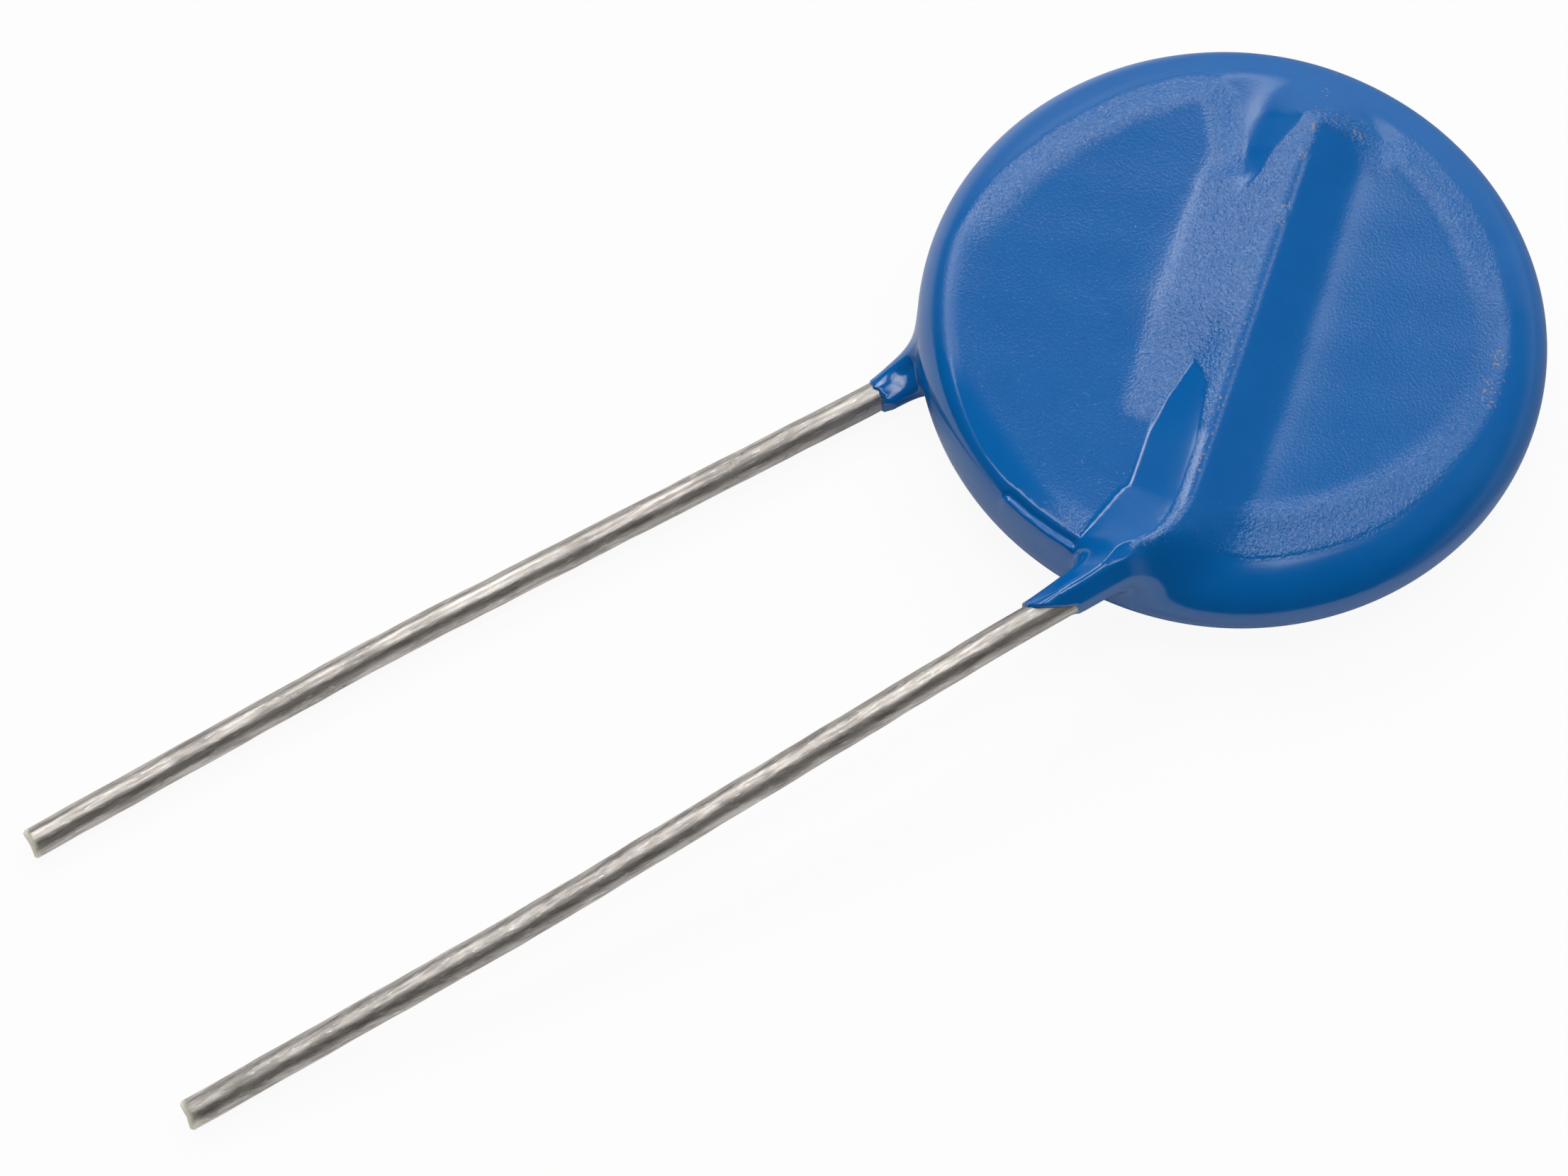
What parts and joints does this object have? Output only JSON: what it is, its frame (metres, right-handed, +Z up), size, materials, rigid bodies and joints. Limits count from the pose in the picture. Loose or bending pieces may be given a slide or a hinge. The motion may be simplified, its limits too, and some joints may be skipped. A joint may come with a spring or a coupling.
{
  "type": "disc varistor",
  "caption": "Round blue epoxy-coated disc varistor with straight tinned wire leads, lying flat, that clamps voltage surges.",
  "frame": {"origin": "middle of the bounding box on the table, under a point on the leads between the disc and the tips", "axes": "+Z up from the table, normal to the disc; -Y along the leads to their tips; +X from the lower lead to the upper one"},
  "size_m": [0.0208, 0.0527, 0.005],
  "materials": {
    "epoxy": "semi-gloss powder coat with a fine texture",
    "tinned_wire": "dull tin, lightly drawn",
    "solder": "smooth",
    "silver_layer": "matt fired layer",
    "zinc_oxide": "matt sintered"
  },
  "bodies": {
    "root": {"ceramic_disc": "zinc_oxide", "front_electrode": "silver_layer", "rear_electrode": "silver_layer", "front_solder": "solder", "rear_solder": "solder", "front_lead": "tinned_wire", "rear_lead": "tinned_wire", "epoxy_coating": "epoxy"}
  },
  "joints": []
}
